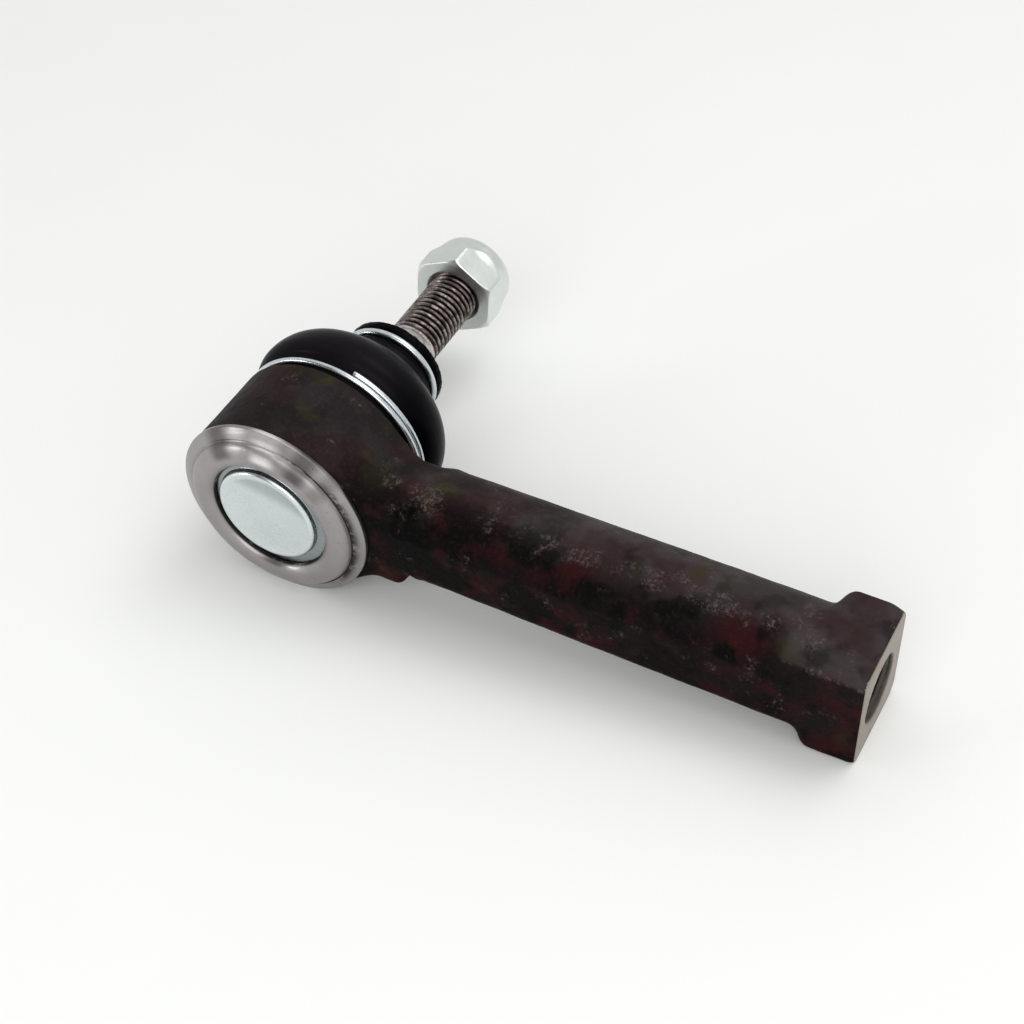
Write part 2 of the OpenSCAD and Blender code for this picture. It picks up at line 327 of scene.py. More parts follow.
def neck_distance(x, y, z):
    """Signed distance to the round waist and the web in front of it, flush with the cap end."""
    waist = soft_max(np.sqrt((y + 0.3) ** 2 + z * z) - WAIST_R, np.abs(x - WAIST_END / 2) - WAIST_END / 2, 1)
    web = soft_max(np.abs(y + WEB_FRONT / 2) - WEB_FRONT / 2, np.abs(z) - WEB_HALF, 2.2)
    web = soft_max(web, np.abs(x - WEB_END / 2) - WEB_END / 2, 2.2)
    return soft_min(waist, web, 1.5)


def forging_distance(x, y, z):
    """Signed distance to the forging: head, waist, shank and wrench end, less its bores."""
    rho = np.sqrt(x * x + z * z)
    ring = np.sqrt(y * y + z * z)

    # The body: head, waist, shank and wrench end
    low, high = CAP_EDGE + 0.25, SHOULDER_Y
    head = soft_max(rho - HEAD_R, np.abs(y - (low + high) / 2) - (high - low) / 2, 0.6)
    shank_stop = SHANK_END - FLATS_LENGTH + 1
    middle, half = (SHANK_START + shank_stop) / 2, (shank_stop - SHANK_START) / 2
    draft = np.clip((x - SHANK_START) / (DRAFT_END - SHANK_START), 0, 1) * (SHANK_R - SHANK_NECK_R)
    shank = soft_max(ring - SHANK_NECK_R - draft, np.abs(x - middle) - half, 3.0)
    body = soft_min(head, neck_distance(x, y, z), 4.5)
    body = soft_min(body, shank, 1.6)
    body = soft_min(body, wrench_distance(x, y, z, ring), 1.7)

    # Room for the rim, the shoulder's flat face, and the spigot on it
    body = soft_max(body, -np.maximum(y - BAND_BACK + 0.1, PLATE_R + 0.4 - rho), 0.2)
    face = np.maximum(np.maximum(rho - HEAD_R - 1.5, SHOULDER_Y - y), SPIGOT_R - 1 - rho)
    body = soft_max(body, -face, 0.4)
    spigot = soft_max(rho - SPIGOT_R, np.abs(y - SPIGOT_TOP + 3) - 3, 0.5)
    body = np.minimum(body, spigot)

    # The ball's cavity with its flared mouth, and the shank's hole with its countersink
    bore = np.maximum(rho - CAVITY_R, y)
    dome = np.sqrt(rho * rho + y * y) - CAVITY_R
    mouth_r = math.sqrt(CAVITY_R ** 2 - MOUTH_START ** 2)
    flare = (MOUTH_OUT_R - mouth_r) / (SPIGOT_TOP - MOUTH_START)
    mouth = np.maximum(rho - mouth_r - flare * (y - MOUTH_START), MOUTH_START - y)
    body = soft_max(body, -np.minimum(np.minimum(bore, dome), mouth), 0.3)
    hole = np.maximum(ring - HOLE_MAJOR_R - 0.05, SHANK_END - HOLE_DEPTH - x)
    cone = (ring - HOLE_MOUTH_R - (x - SHANK_END)) * 0.71
    return soft_max(body, -np.minimum(hole, cone), 0.15)


def forging_unevenness(points):
    """How far the forged surface stands off its true shape, in millimetres; 0 where it is machined."""
    x, y, z = points.T
    off_end = np.clip((SHANK_END - 1.5 - x) / 2, 0, 1) * (np.hypot(y, z) > HOLE_MOUTH_R + 0.5)
    off_head = np.clip(SHOULDER_Y - 1 - y, 0, 1) * (np.hypot(x, z) > CAVITY_R + 3)
    rough = off_end * np.where(x > 35, 1, off_head)
    lump = [noise.noise(p * 0.16) * 0.09 + noise.noise(p * 0.55 + Vector((7, 3, 1))) * 0.035
            for p in map(Vector, points.tolist())]
    return np.array(lump) * rough


def forging():
    """The forged body, with slight unevenness where it isn't machined."""
    low, high = (-23.3, -13.2, -23.3), (SHANK_END + 1.2, 15.6, 23.3)
    return skin("forging", forging_distance, low, high, 0.42, forging_unevenness)


def housing_rim():
    """Machined cap edge of the housing: chamfered band, groove, and the lip rolled over the plate."""
    opening, crest = LIP_OPENING_R, LIP_CREST_R
    inner_rise, outer_rise, outer_width = 1.42, 1.9, 3.6
    back = [(22.2, BAND_BACK), (16.95, BAND_BACK), (16.95, LIP_BACK), (opening + 0.15, LIP_BACK)]
    throat = [(opening, LIP_BACK - 0.15), (opening, LIP_BACK - 0.45)]
    inner = [(crest - (crest - opening) * math.cos(t), LIP_BACK - 0.5 - inner_rise * math.sin(t))
             for t in np.radians(np.linspace(8, 82, 10))]
    outer = [(crest + outer_width * math.sin(t), LIP_BACK - 0.02 - outer_rise * math.cos(t))
             for t in np.radians(np.linspace(0, 88, 22))]
    groove = [(19.5, LIP_BACK), (19.58, LIP_BACK + 0.1), (19.72, LIP_BACK + 0.14), (19.86, LIP_BACK + 0.08)]
    groove += arc(19.98, LIP_BACK + 0.26, 0.2, 255, 300, 3)
    band = [(20.6, LIP_BACK + 0.28), (21.3, LIP_BACK + 0.58), (BAND_R, LIP_BACK + 1.07)]
    band += arc(BAND_R, LIP_BACK + 1.37, 0.3, -50, 0, 4)
    return lathe_ring("housing_rim", (back + throat + inner + outer + groove + band)[::-1], 256)


def shank_thread():
    """Internal thread of the shank, a sleeve inside the forging's hole."""
    rows_per_turn, segments = 10, 96
    start, stop = SHANK_END - HOLE_DEPTH + 1, SHANK_END - 0.9
    count = int((stop - start) / SHANK_PITCH * rows_per_turn)
    height = np.linspace(start, stop, count)
    angle = np.linspace(0, TURN, segments, endpoint=False)
    wave = thread_wave(height[:, None] / SHANK_PITCH - angle[None, :] / TURN)
    open_end = np.clip((SHANK_END - 0.3 - height) / 1.2, 0, 1)[:, None]
    radius = HOLE_MAJOR_R - (HOLE_MAJOR_R - HOLE_MINOR_R) * wave * open_end
    inner = np.stack([height[:, None] + 0 * radius, radius * np.cos(angle), radius * np.sin(angle)], -1)
    outer_r = HOLE_MAJOR_R + 0.3
    outer = [np.stack([h + 0 * angle, outer_r * np.cos(angle), outer_r * np.sin(angle)], -1)
             for h in (stop, start)]
    points = np.concatenate([inner.reshape(-1, 3)] + outer)
    return mesh_object("shank_thread", points, ring_faces(count + 2, segments, True))


def closing_plate():
    """Pressed plate: a raised disc, slightly dished and off centre, with its flange under the rolled lip."""
    flange, disc, rise = PLATE_BACK - PLATE_WALL, DISC_R, PLATE_TOP
    rows = ([(0, rise + 0.5), (4, rise + 0.47), (7, rise + 0.38), (9, rise + 0.26), (10.2, rise + 0.14)]
            + arc(disc - 0.8, rise + 0.8, 0.8, 262, 352, 12)
            + arc(disc + 0.35, flange - 0.35, 0.35, 170, 90, 6)
            + [(FLANGE_START, flange), (PLATE_R - 0.2, flange), (PLATE_R, flange + 0.2)]
            + [(PLATE_R, PLATE_BACK), (disc - 1.1, PLATE_BACK), (disc - 1.5, PLATE_BACK - 0.4)]
            + [(disc - 1.5, rise + 2), (0, rise + 2)])
    made = lathe_solid("closing_plate_pressing", rows, 192)
    for vertex in made.data.vertices:
        radius = math.hypot(vertex.co.x, vertex.co.z) / MM
        share = min(1, max(0, (FLANGE_START - radius) / 1.4))
        vertex.co.x += DISC_SHIFT[0] * share * MM
        vertex.co.z += DISC_SHIFT[1] * share * MM
    return made


# ---------------------------------------------------------------- boot and its rings

def taper_radius(y):
    """Radius of the stud's 1:10 taper."""
    return TAPER_R - (y - TAPER_START) / 20


def cone_point(share, inset=0.0):
    """A point on the boot's cone between the bulge and the neck, moved inwards by inset."""
    low = arc(BOOT_R - BULGE_R, BULGE_Y, BULGE_R - inset, 45, 45, 1)[0]
    high = arc(BOOT_NECK_R + NECK_FILLET, BOOT_NECK_Y, NECK_FILLET + inset, 225, 225, 1)[0]
    return (low[0] + (high[0] - low[0]) * share, low[1] + (high[1] - low[1]) * share)


def boot_lower():
    """Lower part of the boot: bead, bulge and the start of the cone."""
    centre = BOOT_R - BULGE_R
    rows = ([(SPIGOT_R + 0.05, BOOT_BEAD_Y), (BEAD_R - 0.3, BOOT_BEAD_Y), (BEAD_R, BOOT_BEAD_Y + 0.3)]
            + [(BEAD_R, BASE_RING_Y + BASE_PITCH + BASE_WIRE_R)]
            + arc(BOOT_R - BASE_ARC_R, BULGE_Y, BASE_ARC_R, -50, 0, 12)
            + arc(centre, BULGE_Y, BULGE_R, 4, 45, 18)
            + [cone_point(SEAM_SHARE * k / 6) for k in range(1, 7)]
            + [cone_point(SEAM_SHARE + SEAM_LAP, 0.04), cone_point(SEAM_SHARE + SEAM_LAP, BOOT_WALL)]
            + [cone_point(SEAM_SHARE * k / 6, BOOT_WALL) for k in (4, 2)]
            + arc(centre, BULGE_Y, BULGE_R - BOOT_WALL, 45, 4, 14)
            + arc(BOOT_R - BASE_ARC_R, BULGE_Y, BASE_ARC_R - BOOT_WALL, 0, -50, 6)
            + [(SPIGOT_R + 0.05, SPIGOT_TOP + 0.3)])
    return lathe_ring("boot_lower", rows, 192)


def boot_upper():
    """Upper part of the boot: cone, neck, ring groove and the flared lip with its ragged edge."""
    fillet_r = BOOT_NECK_R + NECK_FILLET
    rows = ([cone_point(SEAM_SHARE - SEAM_LAP, 0.04)]
            + [cone_point(SEAM_SHARE + (1 - SEAM_SHARE) * k / 6) for k in range(6)]
            + arc(fillet_r, BOOT_NECK_Y, NECK_FILLET, 225, 180, 10)
            + [(BOOT_NECK_R, BOOT_NECK_Y + 0.35), (BOOT_NECK_R - 0.3, BOOT_NECK_Y + 0.62)]
            + [(GROOVE_R, BOOT_NECK_Y + 0.8), (GROOVE_R, NECK_RING_Y + NECK_WIRE_R)]
            + [(GROOVE_R + 0.25, NECK_RING_Y + NECK_WIRE_R + 0.25), (LIP_R - 0.35, LIP_Y - 1.0)]
            + [(LIP_R - 0.08, LIP_Y - 0.4), (LIP_R, LIP_Y), (LIP_R, LIP_Y + 0.4)]
            + arc(LIP_R - 0.6, LIP_Y + 0.5, 0.6, 10, 80, 6)
            + [(9.8, LIP_Y + 1.35), (8.6, LIP_Y + 1.7), (taper_radius(BOOT_TOP) + 0.7, BOOT_TOP - 0.1)]
            + [(taper_radius(BOOT_TOP) + 0.15, BOOT_TOP - 0.5), (taper_radius(38) + 0.08, 38)]
            + [(taper_radius(BOOT_NECK_Y) + 0.08, BOOT_NECK_Y)]
            + arc(fillet_r, BOOT_NECK_Y, NECK_FILLET + BOOT_WALL, 190, 225, 8)
            + [cone_point(SEAM_SHARE + (1 - SEAM_SHARE) * k / 6, BOOT_WALL) for k in (4, 2, 0)]
            + [cone_point(SEAM_SHARE - SEAM_LAP, BOOT_WALL)])
    made = lathe_ring("boot_upper", rows, 256)
    for vertex in made.data.vertices:
        spot = vertex.co / MM
        radius = math.hypot(spot.x, spot.z)
        share = min(1, max(0, (spot.y - LIP_Y + 1) / 0.8)) * min(1, max(0, (radius - 10.2) / 0.8))
        if share > 0:
            angle = math.atan2(spot.z, spot.x)
            around = Vector((math.cos(angle), math.sin(angle), 0))
            ragged = noise.noise(around * 9) * 0.1 + noise.noise(around * 22) * 0.12
            vertex.co.x *= 1 + ragged * share / radius
            vertex.co.z *= 1 + ragged * share / radius
            vertex.co.y += noise.noise(around * 5 + Vector((4, 0, 2))) * 0.12 * share * MM
    return made


def wire(name, centres, radius, sides=14):
    """A round wire with slightly rounded cut ends along a path of points."""
    centres = np.asarray(centres, float)
    along = np.gradient(centres, axis=0)
    along /= np.linalg.norm(along, axis=1)[:, None]
    outward = centres * np.array([1, 0, 1])
    outward /= np.linalg.norm(outward, axis=1)[:, None]
    outward -= (outward * along).sum(1)[:, None] * along
    outward /= np.linalg.norm(outward, axis=1)[:, None]
    side = np.cross(along, outward)
    angle = np.linspace(0, TURN, sides, endpoint=False)
    last, bevel, cut = len(centres) - 1, 0.12, 0.86
    rings = [(0, 0.0, cut), (0, bevel, 1.0)] + [(n, 0, 1.0) for n in range(1, last)]
    rings += [(last, -bevel, 1.0), (last, 0.0, cut)]
    points = []
    for n, shift, scale in rings:
        circle = np.cos(angle)[:, None] * outward[n] + np.sin(angle)[:, None] * side[n]
        points.append(centres[n] + along[n] * shift + radius * scale * circle)
    points = np.concatenate(points)
    count = len(rings)
    faces = [tuple(f) for f in ring_faces(count, sides, False)]
    faces.append(tuple(range(sides)))
    faces.append(tuple(range(count * sides - 1, (count - 1) * sides - 1, -1)))
    return mesh_object(name, points, faces)


def coil(radius, low, pitch, cut_angle, drop_angle, steps=220):
    """Path of a two-layer ring: on top from cut_angle, down a layer past drop_angle, then a full turn."""
    end = drop_angle + TURN + math.radians(20)
    angle = np.linspace(cut_angle, end, steps)
    fall = np.clip((angle - drop_angle) / math.radians(50), 0, 1)
    fall = fall * fall * (3 - 2 * fall)
    height = low + pitch * (1 - fall)
    return np.stack([radius * np.cos(angle), height, -radius * np.sin(angle)], -1)


# ---------------------------------------------------------------- stud and nut

def stud_rows():
    """(radius, height) rows of the stud from the ball's lowest point to the tip, its thread not yet cut."""
    neck_angle = math.degrees(math.acos(NECK_R / BALL_R))
    rows = arc(0, 0, BALL_R, -90, neck_angle - 4, 40)
    ball_top = rows[-1][1]
    rows += [(NECK_R + 0.35, ball_top + 0.25), (NECK_R + 0.08, ball_top + 0.7), (NECK_R, ball_top + 1.4)]
    rows += [(NECK_R, TAPER_START - 5), (TAPER_R - 0.1, TAPER_START - 0.3), (TAPER_R, TAPER_START)]
    rows += [(taper_radius(y), y) for y in (34, 40, THREAD_START - 1.6)]
    rows += [(taper_radius(THREAD_START) - 0.2, THREAD_START - 1.3), (THREAD_R, THREAD_START - 0.8)]
    count = int((STUD_TIP - THREAD_START) / PITCH * 12)
    rows += [(THREAD_R, y) for y in np.linspace(THREAD_START - 0.5, STUD_TIP - 0.05, count)]
    rows += [(TIP_R - 0.3, STUD_TIP), (0, STUD_TIP - 0.3)]
    return rows


def stud_radius(angle, radius, height):
    """Cuts the helical thread and the tip's chamfer into the stud's rows."""
    on = np.clip((height - THREAD_START + 0.5) / 1.5, 0, 1) * (radius > THREAD_R - 0.01)
    on = on * (height > THREAD_START - 0.6)
    cut = THREAD_DEPTH * (1 - thread_wave(height / PITCH + angle / TURN)) * on
    chamfer = np.where(height > THREAD_START, STUD_TIP - height + TIP_R, 99)
    return np.minimum(radius - cut, chamfer)


def ball_stud():
    """Ball, neck, taper and a true helical thread, as one solid."""
    return lathe_solid("threaded_ball_stud", stud_rows(), 144, stud_radius)


def nut_distance(x, y, z):
    """Signed distance to the lock nut: chamfered hexagon and collar, less threaded bore and pocket."""
    rho = np.sqrt(x * x + z * z)
    around = np.arctan2(z, x)

    # Hexagon with both faces chamfered, and the round collar behind it
    sixth = math.pi / 3
    fold = (around - NUT_ANGLE) % sixth - sixth / 2
    flats = rho * np.cos(fold) - NUT_AF / 2
    hex_end = NUT_FACE + NUT_HEX
    low_cone = (rho - NUT_CORNER_R + 1.1 - (y - NUT_FACE) * 1.73) * 0.5
    high_cone = (rho - NUT_AF / 2 + 0.2 - (hex_end - y) * 0.62) * 0.85
    prism = soft_max(flats, rho - NUT_CORNER_R + 0.12, 0.25)
    prism = soft_max(prism, np.abs(y - (NUT_FACE + hex_end) / 2) - NUT_HEX / 2, 0.2)
    prism = soft_max(prism, soft_max(low_cone, high_cone, 0.1), 0.18)
    collar_low = hex_end - 2
    collar_ends = np.abs(y - (collar_low + NUT_END) / 2) - (NUT_END - collar_low) / 2
    body = soft_min(prism, soft_max(rho - COLLAR_R, collar_ends, 3.4), 1.2)

    # Threaded bore with its countersink, and the pocket of the nylon ring with its mouth
    bore = rho - (THREAD_R + 0.08 - 0.85 * (1 - thread_wave(y / PITCH + around / TURN)))
    sink = (rho - SINK_R + (y - NUT_FACE)) * 0.71
    pocket = np.maximum(rho - POCKET_R, np.abs(y - hex_end - 1.9) - 1.6)
    mouth = np.maximum(rho - POCKET_MOUTH_R, hex_end + 0.3 - y)
    return soft_max(body, -np.minimum(np.minimum(bore, sink), np.minimum(pocket, mouth)), 0.12)


def lock_nut():
    """The nut's steel body, meshed finely enough for its thread."""
    reach = NUT_CORNER_R + 0.4
    low, high = (-reach, NUT_FACE - 0.4, -reach), (reach, NUT_END + 0.4, reach)
    return skin("lock_nut_body", nut_distance, low, high, 0.17)


def insert_ring():
    """Nylon ring of the nut, with rounded edges and the soft bore that grips the thread."""
    low, high = span("lock_nut_insert", 1)
    outer = POCKET_R - 0.1
    inner = THREAD_R + 0.05
    rows = [(inner, low + 0.5), (inner + 0.3, low + 0.02), (outer - 0.5, low), (outer, low + 0.3)]
    rows += [(outer, high - 0.3), (outer - 0.4, high), (inner + 0.55, high), (inner, high - 0.5)]
    return lathe_ring("nylon_insert", rows, 128)


# ---------------------------------------------------------------- materials

def srgb(red, green, blue):
    """A linear colour from 0 to 255 display values."""
    values = [v / 255 for v in (red, green, blue)]
    return tuple(v / 12.92 if v <= 0.04045 else ((v + 0.055) / 1.055) ** 2.4 for v in values) + (1.0,)


class Paint:
    """One procedural material, built node by node. Coordinates are the object's own, in metres."""

    def __init__(self, name, **constants):
        self.material = bpy.data.materials.new(name)
        self.material.use_nodes = True
        self.tree = self.material.node_tree
        self.tree.nodes.clear()
        self.shader = self.tree.nodes.new("ShaderNodeBsdfPrincipled")
        output = self.tree.nodes.new("ShaderNodeOutputMaterial")
        self.tree.links.new(self.shader.outputs["BSDF"], output.inputs["Surface"])
        for socket, value in constants.items():
            self.shader.inputs[socket.replace("_", " ")].default_value = value
        self.place = self.add("ShaderNodeTexCoord").outputs["Object"]

    def add(self, kind, inputs=None, **settings):
        """A node with its settings and inputs; an input is a value or another node's socket."""
        made = self.tree.nodes.new(kind)
        for key, value in settings.items():
            setattr(made, key, value)
        for key, value in (inputs or {}).items():
            if isinstance(value, bpy.types.NodeSocket):
                self.tree.links.new(value, made.inputs[key])
            else:
                made.inputs[key].default_value = value
        return made

    def noise(self, size, detail=3.0, rough=0.55, at=None, shift=0.0):
        """Noise from 0 to 1 with blobs of about size millimetres."""
        place = self.vector("ADD", at or self.place, (shift, shift * 0.7, shift * 1.3))
        inputs = {"Vector": place, "Scale": 1 / (size * MM), "Detail": detail, "Roughness": rough}
        return self.add("ShaderNodeTexNoise", inputs).outputs["Fac"]

    def vector(self, operation, a, b):
        """A vector operation on a and b."""
        return self.add("ShaderNodeVectorMath", {0: a, 1: b}, operation=operation).outputs["Vector"]

    def math(self, operation, a, b=0.0):
        """A number operation on a and b."""
        return self.add("ShaderNodeMath", {0: a, 1: b}, operation=operation).outputs[0]

    def plus(self, a, b):
        """The sum of a and b."""
        return self.math("ADD", a, b)

    def times(self, a, b):
        """The product of a and b."""
        return self.math("MULTIPLY", a, b)

    def between(self, value, low, high):
        """0 below low, 1 above high, smooth in between."""
        inputs = {"Value": value, "From Min": low, "From Max": high}
        made = self.add("ShaderNodeMapRange", inputs, interpolation_type="SMOOTHSTEP")
        return made.outputs["Result"]

    def until(self, value, low, high):
        """1 below low, 0 above high, smooth in between."""
        return self.math("SUBTRACT", 1.0, self.between(value, low, high))

    def scaled(self, value, low, high):
        """Maps 0..1 to low..high."""
        inputs = {"Value": value, "To Min": low, "To Max": high}
        return self.add("ShaderNodeMapRange", inputs).outputs["Result"]

    def mix(self, share, a, b):
        """Colour a, with a share of b laid over it."""
        made = self.add("ShaderNodeMix", data_type="RGBA")
        for socket, value in ((made.inputs[0], share), (made.inputs[6], a), (made.inputs[7], b)):
            if isinstance(value, bpy.types.NodeSocket):
                self.tree.links.new(value, socket)
            else:
                socket.default_value = value
        return made.outputs[2]

    def part(self, axis):
        """One coordinate of the place, in millimetres."""
        split = self.add("ShaderNodeSeparateXYZ", {0: self.place})
        return self.times(split.outputs[axis], 1 / MM)

    def length(self, way):
        """The length of a vector of metres, in millimetres."""
        made = self.add("ShaderNodeVectorMath", {0: way}, operation="LENGTH")
        return self.times(made.outputs["Value"], 1 / MM)

    def far_from(self, x, y, z):
        """Distance from a point, in millimetres."""
        return self.length(self.vector("SUBTRACT", self.place, (x * MM, y * MM, z * MM)))

    def from_axis(self, keep):
        """Distance from an axis in millimetres; keep has 0 for that axis's coordinate."""
        return self.length(self.vector("MULTIPLY", self.place, keep))

    def turning(self, radius, scale, detail=3.0):
        """Noise in rings about an axis, from the distance to it."""
        inputs = {"W": radius, "Scale": scale, "Detail": detail}
        return self.add("ShaderNodeTexNoise", inputs, noise_dimensions="1D").outputs["Fac"]

    def wire_up(self, colour=None, roughness=None, heights=(), metallic=None):
        """Links the finished values to the shader. heights is a list of (socket, height in millimetres)."""
        links = self.tree.links
        if colour is not None:
            links.new(colour, self.shader.inputs["Base Color"])
        if roughness is not None:
            links.new(roughness, self.shader.inputs["Roughness"])
        if metallic is not None:
            links.new(metallic, self.shader.inputs["Metallic"])
        normal = None
        for height, depth in heights:
            inputs = {"Height": height, "Distance": depth * MM, "Strength": 1.0}
            if normal:
                inputs["Normal"] = normal
            normal = self.add("ShaderNodeBump", inputs).outputs["Normal"]
        if normal:
            links.new(normal, self.shader.inputs["Normal"])
        return self.material


def forging_paint():
    """Forged steel under dark scale: brown-black, with maroon, olive and black patches and pale scuffs, its
    upper side painted greyer as a sheen, and painted shade at the neck.
    """
    p = Paint("forging_scale", Specular_IOR_Level=0.04)
    x, y, z = p.part(0), p.part(1), p.part(2)
    broad = p.noise(12, 3, 0.6)
    grain = p.noise(0.9, 4, 0.7)

    # Ground: near black below and greyer on top, a painted sheen from above, with a firm edge of painted
    # light and shade at the wrench end's corner
    wrench = p.between(x, 111.0, 113.5)
    corner = p.plus(y, z)
    upper = p.between(p.plus(p.times(y, 0.5), p.times(z, 0.87)), 3.0, 13.0)
    # Painted light and shade at the wrench end: its top face painted lighter, its front face darker, split
    # at the corner
    step = p.math("SUBTRACT", p.scaled(p.between(corner, -0.7, 1.1), 0.05, 0.85), upper)
    upper = p.plus(upper, p.times(wrench, step))
    sheen_top = p.mix(p.between(x, 18.0, 34.0), srgb(40, 36, 37), srgb(66, 60, 61))
    colour = p.mix(upper, srgb(11, 5, 6), sheen_top)
    colour = p.mix(p.times(p.between(broad, 0.4, 0.6), 0.4), colour, srgb(27, 20, 21))

    # Patches: maroon, olive, black scale that is denser near the head, and painted shade, near black, in the
    # hollow at the neck
    maroon = p.between(p.noise(13, 3, 0.55, shift=0.3), 0.4, 0.6)
    colour = p.mix(p.times(maroon, p.scaled(upper, 0.95, 0.4)), colour, srgb(42, 12, 14))
    olive = p.between(p.noise(10, 2, 0.5, shift=0.9), 0.56, 0.7)
    colour = p.mix(p.times(olive, p.scaled(upper, 0.15, 0.7)), colour, srgb(52, 50, 22))
    black = p.plus(p.noise(9, 3, 0.55, shift=1.7), p.times(p.until(x, 40.0, 70.0), 0.09))
    black = p.times(p.between(black, 0.5, 0.62), p.scaled(upper, 0.95, 0.35))
    colour = p.mix(black, colour, srgb(4, 5, 4))
    # Painted shade: near black in the hollow at the front of the neck
    soot_and_shade = p.until(p.plus(p.far_from(31.0, -9.5, 4.0), p.times(broad, 8.0)), 7.0, 13.0)
    colour = p.mix(p.times(soot_and_shade, 0.9), colour, srgb(3, 3, 3))

    # Wear: grain all over, and pale scuffs, more of them on the web's ridge and the wrench end's corner
    grit = p.times(p.between(grain, 0.48, 0.78), p.scaled(upper, 0.14, 0.3))
    colour = p.mix(grit, colour, srgb(68, 58, 58))
    ridge = p.until(p.math("ABSOLUTE", p.plus(y, 3.5)), 0.8, 4.0)
    ridge = p.times(ridge, p.times(p.between(z, 6.0, 9.0), p.between(x, 20.0, 25.0)))
    crease = p.until(p.math("ABSOLUTE", corner), 0.2, 1.3)
    ridge = p.math("MAXIMUM", ridge, p.times(crease, wrench))
    worn = p.plus(p.noise(6, 3, 0.65, shift=3.1), p.times(ridge, 0.13))
    scuff = p.times(p.between(p.noise(0.85, 5, 0.8, shift=2.2), 0.46, 0.7), p.between(worn, 0.57, 0.74))
    colour = p.mix(p.times(scuff, 0.5), colour, srgb(132, 113, 114))
    rough = p.scaled(p.plus(p.times(broad, 0.4), p.times(grain, 0.6)), 0.42, 0.66)
    return p.wire_up(colour, rough, [(p.noise(3.0, 4, 0.6), 0.22), (grain, 0.1)], p.scaled(scuff, 0.0, 0.5))


# Painted patches of the rim, in place of reflections: angle and half-width in degrees, strength, grey level
RIM_PATCHES = ((87, 13, 0.95, 250), (122, 14, 0.75, 78), (62, 13, 0.85, 78), (44, 9, 0.45, 100))


def turned_paint():
    """Turned bare steel of the cap edge: fine rings, painted light and dark patches for reflections, soot on
    the shank's side, and painted shade in the crevice at the lip's opening.
    """
    p = Paint("turned_steel", Metallic=1.0, Anisotropic=0.7, Anisotropic_Rotation=0.25)
    x = p.part(0)
    rho = p.from_axis((1, 0, 1))
    rings = p.turning(rho, 5.0)
    cloud = p.noise(5, 3, 0.6)
    colour = p.mix(cloud, srgb(136, 133, 133), srgb(176, 172, 171))
    colour = p.mix(p.between(rings, 0.3, 0.7), colour, srgb(157, 153, 153))
    turn = p.math("DEGREES", p.math("ARCTAN2", p.part(2), x))
    outer = p.between(rho, 15.6, 17.2)
    for centre, width, strength, level in RIM_PATCHES:
        patch = p.until(p.math("ABSOLUTE", p.math("SUBTRACT", turn, centre)), 0.15 * width, width)
        colour = p.mix(p.times(p.times(patch, outer), strength), colour, srgb(level, level - 4, level - 5))
    side = p.between(x, 11.0, 17.5)
    spots = p.between(p.noise(3.4, 5, 0.75, shift=0.4), 0.38, 0.54)
    band = p.times(p.between(rho, 19.4, 19.6), p.until(rho, 19.9, 21.8))
    groove = p.times(p.between(rho, 19.35, 19.55), p.until(rho, 19.75, 20.0))
    soot_and_shade = p.times(p.times(side, spots), band)
    seam = p.times(groove, p.between(p.plus(x, p.times(spots, 5.0)), 8.0, 15.0))
    # Painted shade in the crevice at the lip's opening, where the plate meets it
    mouth = p.until(rho, LIP_OPENING_R + 0.02, LIP_OPENING_R + 0.22)
    gap_shade = p.times(mouth, p.between(p.noise(3, 2, 0.5, shift=2.4), 0.3, 0.5))
    flecks = p.times(p.between(p.noise(0.8, 3, 0.7, shift=1.4), 0.66, 0.74), 0.7)
    # Soot, flecks and a dark line along the groove, together with the painted crevice shade
    dirt_and_shade = p.math("MAXIMUM", p.math("MAXIMUM", soot_and_shade, flecks), p.math("MAXIMUM", seam, gap_shade))
    colour = p.mix(p.times(dirt_and_shade, 0.9), colour, srgb(34, 27, 27))
    rough = p.plus(p.scaled(rings, 0.28, 0.44), p.times(dirt_and_shade, 0.3))
    around = p.add("ShaderNodeTangent", direction_type="RADIAL", axis="Y").outputs[0]
    p.tree.links.new(around, p.shader.inputs["Tangent"])
    return p.wire_up(colour, rough, [(rings, 0.02), (cloud, 0.05)])


def plate_paint():
    """Bright zinc of the closing plate, faintly blue: rolled grain, a painted dark reflection as a duller
    band near the top, and the flange painted darker as shade under the lip, near black in the crevice at its
    edge.
    """
    p = Paint("bright_zinc", Metallic=1.0)
    rho = p.from_axis((1, 0, 1))
    cloud = p.noise(7, 3, 0.6)
    grain = p.noise(1.6, 3, 0.6, at=p.vector("MULTIPLY", p.place, (1, 1, 9)))
    colour = p.mix(cloud, srgb(204, 214, 215), srgb(222, 229, 228))
    marks = p.between(p.noise(1.2, 4, 0.7, shift=2), 0.62, 0.75)
    colour = p.mix(p.times(marks, 0.35), colour, srgb(150, 156, 158))
    # Painted dark reflection: a duller, darker band near the top of the disc
    upward = p.plus(p.times(p.part(0), 0.2), p.part(2))
    band = p.times(p.between(upward, 4.6, 8.6), p.until(rho, 10.2, 11.0))
    colour = p.mix(p.times(band, 0.6), colour, srgb(146, 162, 161))
    # Painted shade: the flange, down under the lip, painted darker, and near black in the crevice at its
    # edge
    flange = p.between(p.part(1), PLATE_TOP + 1.0, PLATE_TOP + 1.45)
    colour = p.mix(p.times(flange, 0.75), colour, srgb(116, 122, 124))
    gap_shade = p.times(p.between(rho, 13.1, 13.5), p.between(p.noise(3, 2, 0.5, shift=1), 0.2, 0.5))
    colour = p.mix(p.times(p.times(flange, gap_shade), 0.9), colour, srgb(24, 26, 25))
    rough = p.scaled(p.plus(p.times(grain, 0.6), p.times(cloud, 0.4)), 0.2, 0.36)
    return p.wire_up(colour, rough, [(grain, 0.012), (cloud, 0.08)])


